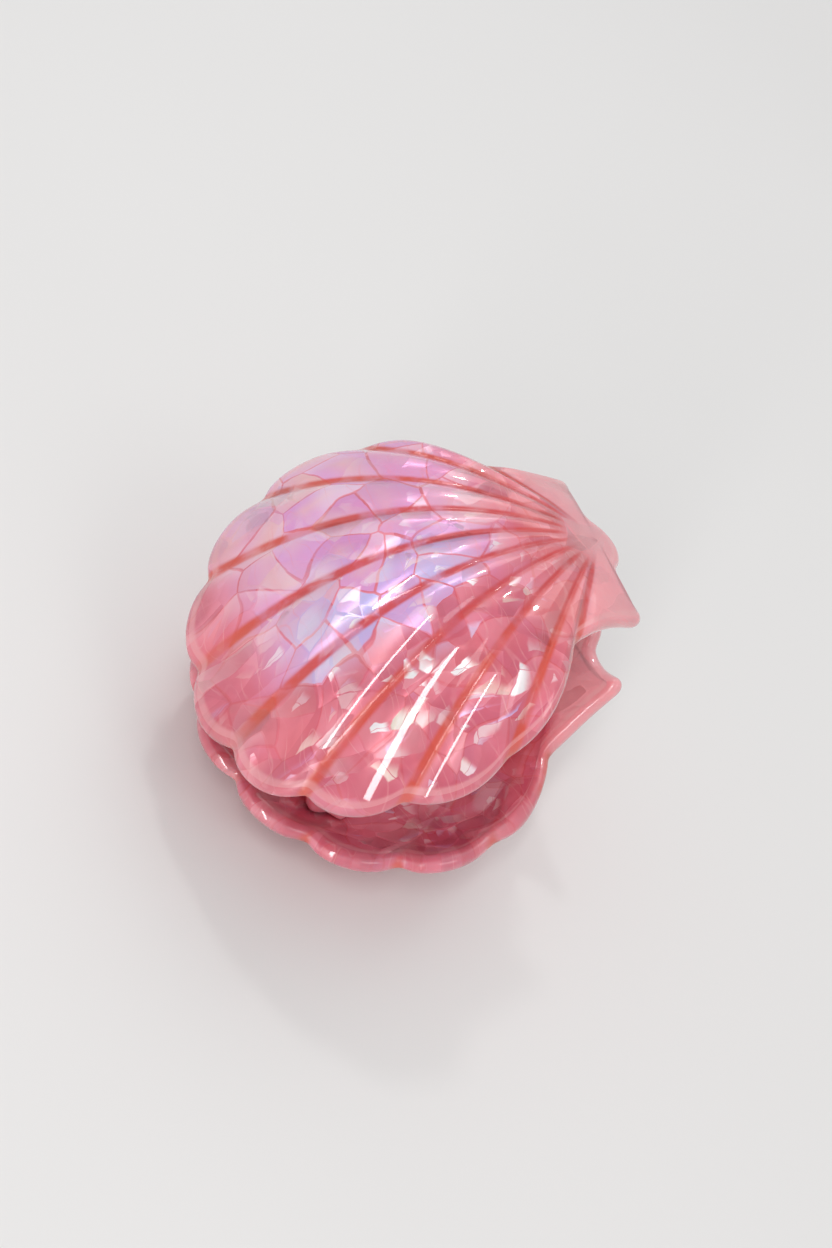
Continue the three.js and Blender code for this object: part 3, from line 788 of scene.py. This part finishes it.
SHEET_SOFT, FLAKE_SOFT = 0.016, 0.02  # how softly a shard ends
SLIVER_SEAM, SLIVER_SOFT = 0.003, 0.035
CHIP_SEAM, CHIP_SOFT = 0.002, 0.02
FLAKE_SHARE, SLIVER_SHARE, CHIP_SHARE = 0.45, 0.3, 0.22  # of the shards, how many show
THREADS = ((0.5, 2.2, 0.22), (2.1, 3.0, 0.3))  # turn, scale and strength of each set of fine rose lines
THREAD_EDGE, THREAD_HEART = 0.014, 0.002  # how far the noise is from its middle where a line ends and is full
LEAN_IN, LEAN_NEAR_UMBO = (0.8, 2.0), 0.06
SHEET_LEAN, FLAKE_LEAN, SLIVER_LEAN, CHIP_LEAN = 0.35, 0.4, 0.3, 0.3  # how far a shard tips the normal
SLOPE_GAIN = 4.5  # brings a shard's slope to about -1 to 1
SHEET_COVER, SHEET_OFF_FILM = 0.92, 0.1  # how much of the rose a sheet hides, in the film's zones and outside
FLAKE_COVER, FLAKE_OFF_FILM = 0.25, 0.1  # how much more a flake hides in those zones, and how much outside
BLUE_COVER, EAR_COVER, RIM_LIGHT_COVER = 0.85, 0.85, 0.5
SHEET_SHINE, FLAKE_SHINE, GLINT_SHINE = 0.25, 0.7, 0.45  # a flake's is a part of a sheet's
STAIN_MATT = 0.85  # how much of the coat's weight the coral rays take away
NOISE_SPAN = (0.3, 0.7)  # between these lies most of a noise
SHIFT_ACROSS = 0.7  # the part of a layer's shift that also goes across the plan
COAT_RIPPLE, INNER_RIPPLE, STEEL_GRAIN = 0.04 * MM, 0.05 * MM, 0.01 * MM  # the heights of the finest relief


def polish(finish):
    """Polished acetate: a clear hard coat over a slightly scattering body."""
    finish.set(IOR=1.49, Roughness=0.3, Coat_Weight=1.0, Coat_Roughness=0.03, Coat_IOR=1.65,
               Subsurface_Weight=0.35, Subsurface_Radius=(1.0, 0.4, 0.35), Subsurface_Scale=0.003)


class Shards:
    """One layer of broken film, from Voronoi cells: three random numbers a shard, the distance to its edge in
    cm, a slope that runs across it from about -1 to 1, and a lean for its normal."""

    def __init__(self, f, plan, scale, turn, stretch, shift):
        place = f.moved(plan, turn, (1, stretch, 1), (shift, SHIFT_ACROSS * shift, 0))
        cell = f.cells(place, scale)
        edge = f.cells(place, scale, "DISTANCE_TO_EDGE")["Distance"]
        self.random = f.parts(cell["Color"])
        self.edge = f.times(edge, 1 / scale)
        self.lean = f.centred(cell["Color"])
        inside = f.vector("SUBTRACT", place, cell["Position"])
        self.slope = f.times(f.vector("DOT_PRODUCT", inside, self.lean, out=1), SLOPE_GAIN * scale)

    def inside(self, f, gap, soft):
        """1 inside a shard, fading over soft to 0 where its edge lies nearer than gap."""
        return f.step(f.math("SUBTRACT", self.edge, gap), 0.0, soft)

    def some(self, f, share, gap, soft):
        """The same on this share of the shards, chosen at random, and 0 on the others."""
        return f.times(self.inside(f, gap, soft), f.math("GREATER_THAN", self.random[0], 1 - share))


def painted_tilt_shade(f, color, slope, amount, light, dark):
    """The colour run towards a lighter and a darker one across the shard: painted highlight and shade, as if
    the shard were tilted to the light.
    """
    color = f.mix(f.step(slope, 0.0, 1.0, 0, amount), color, light)
    return f.mix(f.step(slope, 0.0, -1.0, 0, amount), color, dark)


def pearl_acetate(name, lilac, glint_strength, depth, shift):
    """Broken mother-of-pearl film cast in rose acetate, with coral rays rubbed into the grooves.

    lilac is how far the pearl turns to lilac on the fan's left, the glint strength how strongly the chips are
    painted bright as glints (painted highlights), depth how far the rose is darkened as painted shade, and
    shift moves the shards."""
    f = Finish(name)
    plan = f.node("ShaderNodeUVMap", uv_map="plan").outputs[0]
    along, across, _ = f.parts(plan)
    stain, ear, rim = (f.attribute(key) for key in ("stain", "ear", "rim"))

    # Layers of shards, from large to small, each shifted so that no two share their cells.
    broad = f.centred(f.noise(plan, 0.8, 1, out="Color"))
    fine = f.centred(f.noise(plan, 4.5, 2, out="Color"))
    warped = f.pushed(f.pushed(plan, broad, BROAD_WARP), fine, FINE_WARP)
    crumpled = f.pushed(warped, fine, CRUMPLE)
    sheet = Shards(f, warped, scale=1.4, turn=0.3, stretch=1.15, shift=shift)
    flake = Shards(f, warped, scale=1.9, turn=1.0, stretch=1.5, shift=shift + 3.1)
    sliver = Shards(f, crumpled, scale=2.3, turn=-0.6, stretch=2.0, shift=shift + 7.7)
    chip = Shards(f, crumpled, scale=3.8, turn=0.4, stretch=1.6, shift=shift + 1.9)

    # Where the film lies.
    drift = f.times(f.math("SUBTRACT", sheet.random[0], 0.5), SHEET_DRIFT)
    drift = f.math("ADD", drift, f.times(f.math("SUBTRACT", flake.random[2], 0.5), FLAKE_DRIFT))
    place = f.math("ADD", across, drift)
    body = f.times(f.step(along, *FILM_IN), f.step(along, *FILM_OUT, FILM_AT_RIM, 1.0))
    lilac_zone = f.times(f.step(place, *LILAC_ACROSS), body, lilac)
    # Painted sheen: the blue zone lays lavender and sky tones in a band across the middle of the fan, where
    # the film's iridescence shows from this view.
    blue_zone = f.times(f.step(place, *BLUE_ACROSS_LEFT), f.step(place, *BLUE_ACROSS_RIGHT))
    blue_zone = f.times(blue_zone, f.times(f.step(along, *BLUE_IN), f.step(along, *BLUE_OUT)), lilac)
    film = f.highest(lilac_zone, blue_zone)

    # The rose body.
    cloud = f.noise(warped, 1.5, 3, 0.6)
    rose = f.mix(f.step(cloud, 0.35, 0.65), ROSE_DEEP, ROSE)
    rose = f.mix(f.step(along, *SALMON_OUT), rose, SALMON)
    rose = f.mix(f.times(film, 0.8), rose, ROSE_BODY)
    # Painted shade: depth darkens the whole rose, for the lower half lying under the upper one.
    rose = f.mix(depth, rose, ROSE_DEEP)
    # Painted highlight and shade across each sheet and flake of the rose, as if tilted to the light.
    rose = painted_tilt_shade(f, rose, sheet.slope, 0.35, ROSE_PALE, ROSE_DEEP)
    rose = painted_tilt_shade(f, rose, flake.slope, 0.45, ROSE_PALE, ROSE_DEEP)

    # Sheets and flakes of film in it.
    nacre = f.ramp(sheet.random[1], (0.0, PINK), (0.35, LILAC), (0.6, PEACH), (0.8, VIOLET), (1.0, PINK))
    blue = f.ramp(sheet.random[2], (0.0, LAVENDER), (0.5, SKY), (1.0, VIOLET))
    nacre = f.mix(f.times(blue_zone, BLUE_COVER), nacre, blue)
    heart = f.times(f.step(sheet.edge, 0.04, 0.36), f.step(sheet.random[2], 0.3, 0.8, 0.0, 0.7))
    nacre = f.mix(heart, nacre, f.mix(blue_zone, PEACH, LAVENDER))
    # Painted highlight and shade across each sheet of film.
    nacre = painted_tilt_shade(f, nacre, sheet.slope, 0.4, PEARL_AND_HIGHLIGHT_WHITE, VIOLET)
    patch = f.noise(warped, 1.9, 2)
    seam = f.step(patch, 0.35, 0.75, *SEAM)
    cover = f.highest(f.times(film, SHEET_COVER), SHEET_OFF_FILM)
    on_sheet = f.times(sheet.inside(f, seam, SHEET_SOFT), cover)
    color = f.mix(on_sheet, rose, nacre)
    tone = f.ramp(flake.random[1], (0.0, PINK), (0.4, LILAC), (0.7, PEACH), (1.0, PEARL_AND_HIGHLIGHT_WHITE))
    # Painted highlight and shade across each flake.
    tone = painted_tilt_shade(f, tone, flake.slope, 0.7, PEARL_AND_HIGHLIGHT_WHITE, f.mix(film, ROSE, VIOLET))
    on_flake = flake.some(f, FLAKE_SHARE, seam, FLAKE_SOFT)
    cover = f.math("MULTIPLY_ADD", film, FLAKE_COVER, FLAKE_OFF_FILM)
    color = f.mix(f.times(on_flake, cover), color, tone)

    # Fine rose threads.
    for turn, scale, light in THREADS:
        strand = f.noise(f.moved(warped, turn, (1, 0.2, 1), (shift, 0, 0)), scale, 0)
        thread = f.step(f.math("ABSOLUTE", f.math("SUBTRACT", strand, 0.5)), THREAD_EDGE, THREAD_HEART)
        thread = f.times(thread, f.step(patch, 0.4, 0.6, light, 0.05))
        color = f.mix(thread, color, f.mix(film, PALE_THREAD_AND_RIM_LIGHT, ROSE_PALE))

    # Slivers and chips painted near white as glints, brighter towards one side: painted highlights, and a
    # little metallic too. Each ends where a larger shard does.
    field = f.times(f.step(across, *GLINT_ACROSS, GLINT_AT_LEFT, 1.0), f.step(along, *GLINT_IN),
                    f.step(along, *GLINT_OUT, GLINT_AT_RIM, 1.0), f.step(rim, 0.6, 0.0, 0.0, glint_strength))
    on_sliver = f.times(sliver.some(f, SLIVER_SHARE, SLIVER_SEAM, SLIVER_SOFT), flake.inside(f, 0.0, 0.012))
    on_chip = f.times(chip.some(f, CHIP_SHARE, CHIP_SEAM, CHIP_SOFT), sliver.inside(f, 0.0, 0.01))
    vivid = f.times(f.step(sliver.random[2], 0.1, 0.9, 0.45, 1.0), field)
    sliver_glint = f.times(on_sliver, vivid, f.step(sliver.slope, -0.4, 0.5))
    vivid = f.times(f.step(chip.random[2], 0.1, 0.9, 0.3, 1.0), field)
    chip_glint = f.times(on_chip, vivid, f.step(chip.slope, -0.4, 0.4))
    glint = f.highest(sliver_glint, chip_glint)
    tone = f.ramp(sliver.random[1], (0.0, PEARL_AND_HIGHLIGHT_WHITE), (0.35, PEARL_AND_HIGHLIGHT_WHITE), (0.55, GLINT_CREAM),
                  (0.75, LILAC), (1.0, SKY))
    color = f.mix(glint, color, f.mix(chip_glint, tone, PEARL_AND_HIGHLIGHT_WHITE))

    # Ears, coral rays, and a painted paler band at the rim, standing in for light that comes through the thin
    # rounded edge.
    blush = f.mix(f.step(cloud, 0.4, 0.7, 0.0, 0.5), EAR_BLUSH, ROSE_PALE)
    color = f.mix(f.times(ear, EAR_COVER), color, blush)
    side = f.step(f.math("ABSOLUTE", across), *ORANGE_ACROSS)
    ray = f.mix(f.highest(f.step(along, *ORANGE_IN), f.times(side, 0.6)), CORAL, ORANGE)
    smudge = f.noise(warped, 2.5, 3)
    stained = f.times(f.step(stain, 0.2, 0.8), f.step(smudge, 0.35, 0.6, 0.5, 0.95),
                      f.step(along, *STAIN_OUT, STAIN_AT_RIM, 1.0))
    color = f.mix(stained, color, ray)
    # Painted light: the rim's band is made paler, as where light comes through the thin edge.
    band = f.times(f.step(rim, 0.1, 0.6), f.step(rim, 1.0, 0.97, 0.3, 1.0))
    color = f.mix(f.times(band, RIM_LIGHT_COVER), color, PALE_THREAD_AND_RIM_LIGHT)
    f.set(Base_Color=color)
    polish(f)

    # The film's own shine, and the lean of its pieces under the coat.
    shine = f.times(f.highest(on_sheet, f.times(on_flake, FLAKE_SHINE)), SHEET_SHINE)
    shine = f.highest(shine, f.times(glint, GLINT_SHINE))
    clear = f.math("SUBTRACT", 1.0, f.highest(stained, rim))
    f.set(Metallic=f.times(shine, clear), Coat_Weight=f.math("MULTIPLY_ADD", stained, -STAIN_MATT, 1.0))
    leaned = f.node("ShaderNodeNewGeometry").outputs["Normal"]
    leaned = f.pushed(leaned, sheet.lean, f.step(along, *LEAN_IN, LEAN_NEAR_UMBO, SHEET_LEAN))
    leaned = f.pushed(leaned, flake.lean, f.times(on_flake, FLAKE_LEAN))
    leaned = f.pushed(leaned, sliver.lean, f.times(on_sliver, SLIVER_LEAN))
    leaned = f.pushed(leaned, chip.lean, f.times(on_chip, CHIP_LEAN))
    wave = f.noise(f.object_place(), 120, 1)
    f.set(Normal=f.vector("NORMALIZE", leaned), Coat_Normal=f.bump(wave, COAT_RIPPLE))
    return f.material


def plain_acetate(name):
    """The same rose acetate without pearl film, cloudy inside and fully polished."""
    f = Finish(name)
    place = f.object_place()
    cloud = f.noise(place, 160, 3, 0.6)
    streak = f.noise(f.moved(place, stretch=(1, 0.2, 1)), 420, 2)
    color = f.mix(f.step(cloud, *NOISE_SPAN), ROSE, ROSE_PALE)
    f.set(Base_Color=f.mix(f.step(streak, 0.55, 0.8, 0, 0.35), color, ROSE_DEEP))
    polish(f)
    f.set(Coat_Normal=f.bump(f.noise(place, 220, 2), INNER_RIPPLE))
    return f.material


def bright_steel(name, color, roughness, grain_stretch):
    """Nickel-plated steel with fine drawing or turning marks and a slightly uneven tone."""
    f = Finish(name)
    place = f.object_place()
    tone = f.noise(place, 350, 3)
    marks = f.noise(f.moved(place, stretch=grain_stretch), 2500, 3, 0.7)
    f.set(Base_Color=f.mix(f.step(tone, *NOISE_SPAN, 0, 0.3), color, STEEL_SHADE), Metallic=1.0)
    f.set(Roughness=f.step(marks, *NOISE_SPAN, roughness * 0.7, roughness * 1.5))
    f.set(Normal=f.bump(marks, STEEL_GRAIN, 0.5))
    return f.material


# ---- Assembly ----------------------------------------------------------------------------------------------

def finish_piece(piece, material, body, slot, *nodes):
    """Gives a piece its material, the body it rides on if any, and the CAD nodes it stands for, which it
    hides. Its slot is not used.
    """
    piece.data.materials.append(material)
    if body:
        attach(piece, body)
    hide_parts(*nodes)


upper_pearl = pearl_acetate("pearl_acetate_upper", lilac=1.0, glint_strength=1.0, depth=0.0, shift=0.0)
# The lower half's rose is darkened a little as painted shade, and its chips are painted less bright.
lower_pearl = pearl_acetate("pearl_acetate_lower", lilac=0.2, glint_strength=0.5, depth=0.1, shift=4.3)
rose_acetate = plain_acetate("rose_acetate")
pin_steel = bright_steel("bright_pin_steel", PIN_STEEL, roughness=0.18, grain_stretch=(1, 1, 1))
wire_steel = bright_steel("drawn_wire_steel", WIRE_STEEL, roughness=0.26, grain_stretch=(1, 0.15, 1))

for label, side, pearl, lug_v, hole in (
        ("upper", UPPER, upper_pearl, INNER_LUG_V, PIN_RADIUS + RUNNING_GAP),
        ("lower", LOWER, lower_pearl, OUTER_LUG_V, PIN_RADIUS + PRESS_GAP)):
    body = f"{label}_half"
    finish_piece(plate_piece(f"{label}_scallop_plate", side), pearl, body, "shell_acetate", f"{label}_shell")
    finish_piece(comb_piece(f"{label}_claw_comb", side), rose_acetate, body, "inner_acetate", f"{label}_comb")
    for hand, from_v in (("right", lug_v), ("left", -lug_v - LUG_WIDTH)):
        lug = lug_piece(f"{label}_hinge_lug_{hand}", side, from_v, hole)
        finish_piece(lug, rose_acetate, body, "inner_acetate", f"{label}_lug_{hand}")

finish_piece(pin_piece(), pin_steel, "lower_half", "pin_steel", "hinge_pin")
finish_piece(cap_piece(), pin_steel, "lower_half", "pin_steel", "pin_cap")
spring = spring_piece()
finish_piece(spring, wire_steel, None, "spring_steel", "torsion_spring")
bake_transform(spring)


# ---- Floor, light and camera -------------------------------------------------------------------------------

FLOOR_HALF = 5.0  # in metres, as are the distances and lamp sizes below
AIM = MM * np.array([4.44, 6.36, 22.80])
VIEW_AZIMUTH, VIEW_ELEVATION, VIEW_ROLL = -53.51, 43.25, 36.43
VIEW_DISTANCE = 0.3044
LENS, SENSOR_HEIGHT = 60, 36
ROOM_COLOR = linear(240, 240, 242)
ROOM_LIGHT = 0.68  # the strength with which the room lights the clip
ROOM_SEEN = 0.73  # and with which the camera and polished faces see it
LAMPS = (  # name, azimuth, elevation, distance, width, height, watts, turn about the beam in degrees
    ("window_tall", -59.5, 35, 0.9, 0.09, 1.15, 3.8, 13),
    ("window_side", 10, 50, 0.9, 0.3, 0.3, 0.5, 0),
    ("window_back", 135, 48, 1.2, 0.9, 0.7, 1.8, 0),
    ("window_small", 165, 58, 0.7, 0.06, 0.06, 0.4, 0),
)


def floor():
    """A pale square floor, in the stage and not in the part."""
    mesh = bpy.data.meshes.new("floor")
    corners = [(x * FLOOR_HALF, y * FLOOR_HALF, 0) for x, y in ((-1, -1), (1, -1), (1, 1), (-1, 1))]
    mesh.from_pydata(corners, [], [(0, 1, 2, 3)])
    f = Finish("pale_floor")
    tone = f.noise(f.object_place(), 6, 2)
    f.set(Base_Color=f.mix(tone, linear(226, 225, 223), linear(232, 231, 229)), Roughness=0.45)
    mesh.materials.append(f.material)
    made = linked("floor", mesh)


def direction(azimuth, elevation):
    """The way towards a place seen at that azimuth, from -Y turning to +X, and elevation, in degrees."""
    a, e = math.radians(azimuth), math.radians(elevation)
    return np.array([math.sin(a) * math.cos(e), -math.cos(a) * math.cos(e), math.sin(e)])


def lamp(name, azimuth, elevation, distance, width, height, power, turn):
    """A rectangular soft lamp that faces the clip, turned about its own beam."""
    data = bpy.data.lights.new(name, "AREA")
    data.shape = "RECTANGLE"
    data.size, data.size_y, data.energy = width, height, power
    made = linked(name, data)
    back = direction(azimuth, elevation)
    made.location = AIM + back * distance
    aimed = mathutils.Vector(back.tolist()).to_track_quat("Z", "Y")
    made.rotation_mode = "QUATERNION"
    made.rotation_quaternion = aimed @ mathutils.Quaternion((0, 0, 1), math.radians(turn))


def room():
    """Even light from all round, stronger to the camera and in reflections than on the clip."""
    world = bpy.data.worlds.new("studio")
    world.use_nodes = True
    nodes, join = world.node_tree.nodes, world.node_tree.links.new
    backdrop = nodes["Background"]
    backdrop.inputs["Color"].default_value = ROOM_COLOR
    rays = nodes.new("ShaderNodeLightPath").outputs
    seen = nodes.new("ShaderNodeMath")
    seen.operation = "MAXIMUM"
    join(rays["Is Camera Ray"], seen.inputs[0])
    join(rays["Is Glossy Ray"], seen.inputs[1])
    strength = nodes.new("ShaderNodeMapRange")
    strength.inputs["To Min"].default_value = ROOM_LIGHT
    strength.inputs["To Max"].default_value = ROOM_SEEN
    join(seen.outputs[0], strength.inputs["Value"])
    join(strength.outputs[0], backdrop.inputs["Strength"])
    bpy.context.scene.world = world


def camera():
    """A camera that looks at the clip from the view's azimuth and elevation, rolled about its own line."""
    data = bpy.data.cameras.new("camera")
    data.lens = LENS
    data.sensor_fit = "VERTICAL"
    data.sensor_height = SENSOR_HEIGHT
    made = linked("camera", data)
    azimuth, roll = math.radians(VIEW_AZIMUTH), math.radians(VIEW_ROLL)
    back = direction(VIEW_AZIMUTH, VIEW_ELEVATION)
    level_right = np.array([math.cos(azimuth), math.sin(azimuth), 0])
    level_up = np.cross(back, level_right)
    right = math.cos(roll) * level_right + math.sin(roll) * level_up
    up = np.cross(back, right)
    turned = mathutils.Matrix(np.stack([right, up, back], axis=1).tolist()).to_4x4()
    made.matrix_world = mathutils.Matrix.Translation((AIM + VIEW_DISTANCE * back).tolist()) @ turned
    bpy.context.scene.camera = made


floor()
for settings in LAMPS:
    lamp(*settings)
room()
camera()
bpy.context.scene.view_settings.view_transform = "Standard"
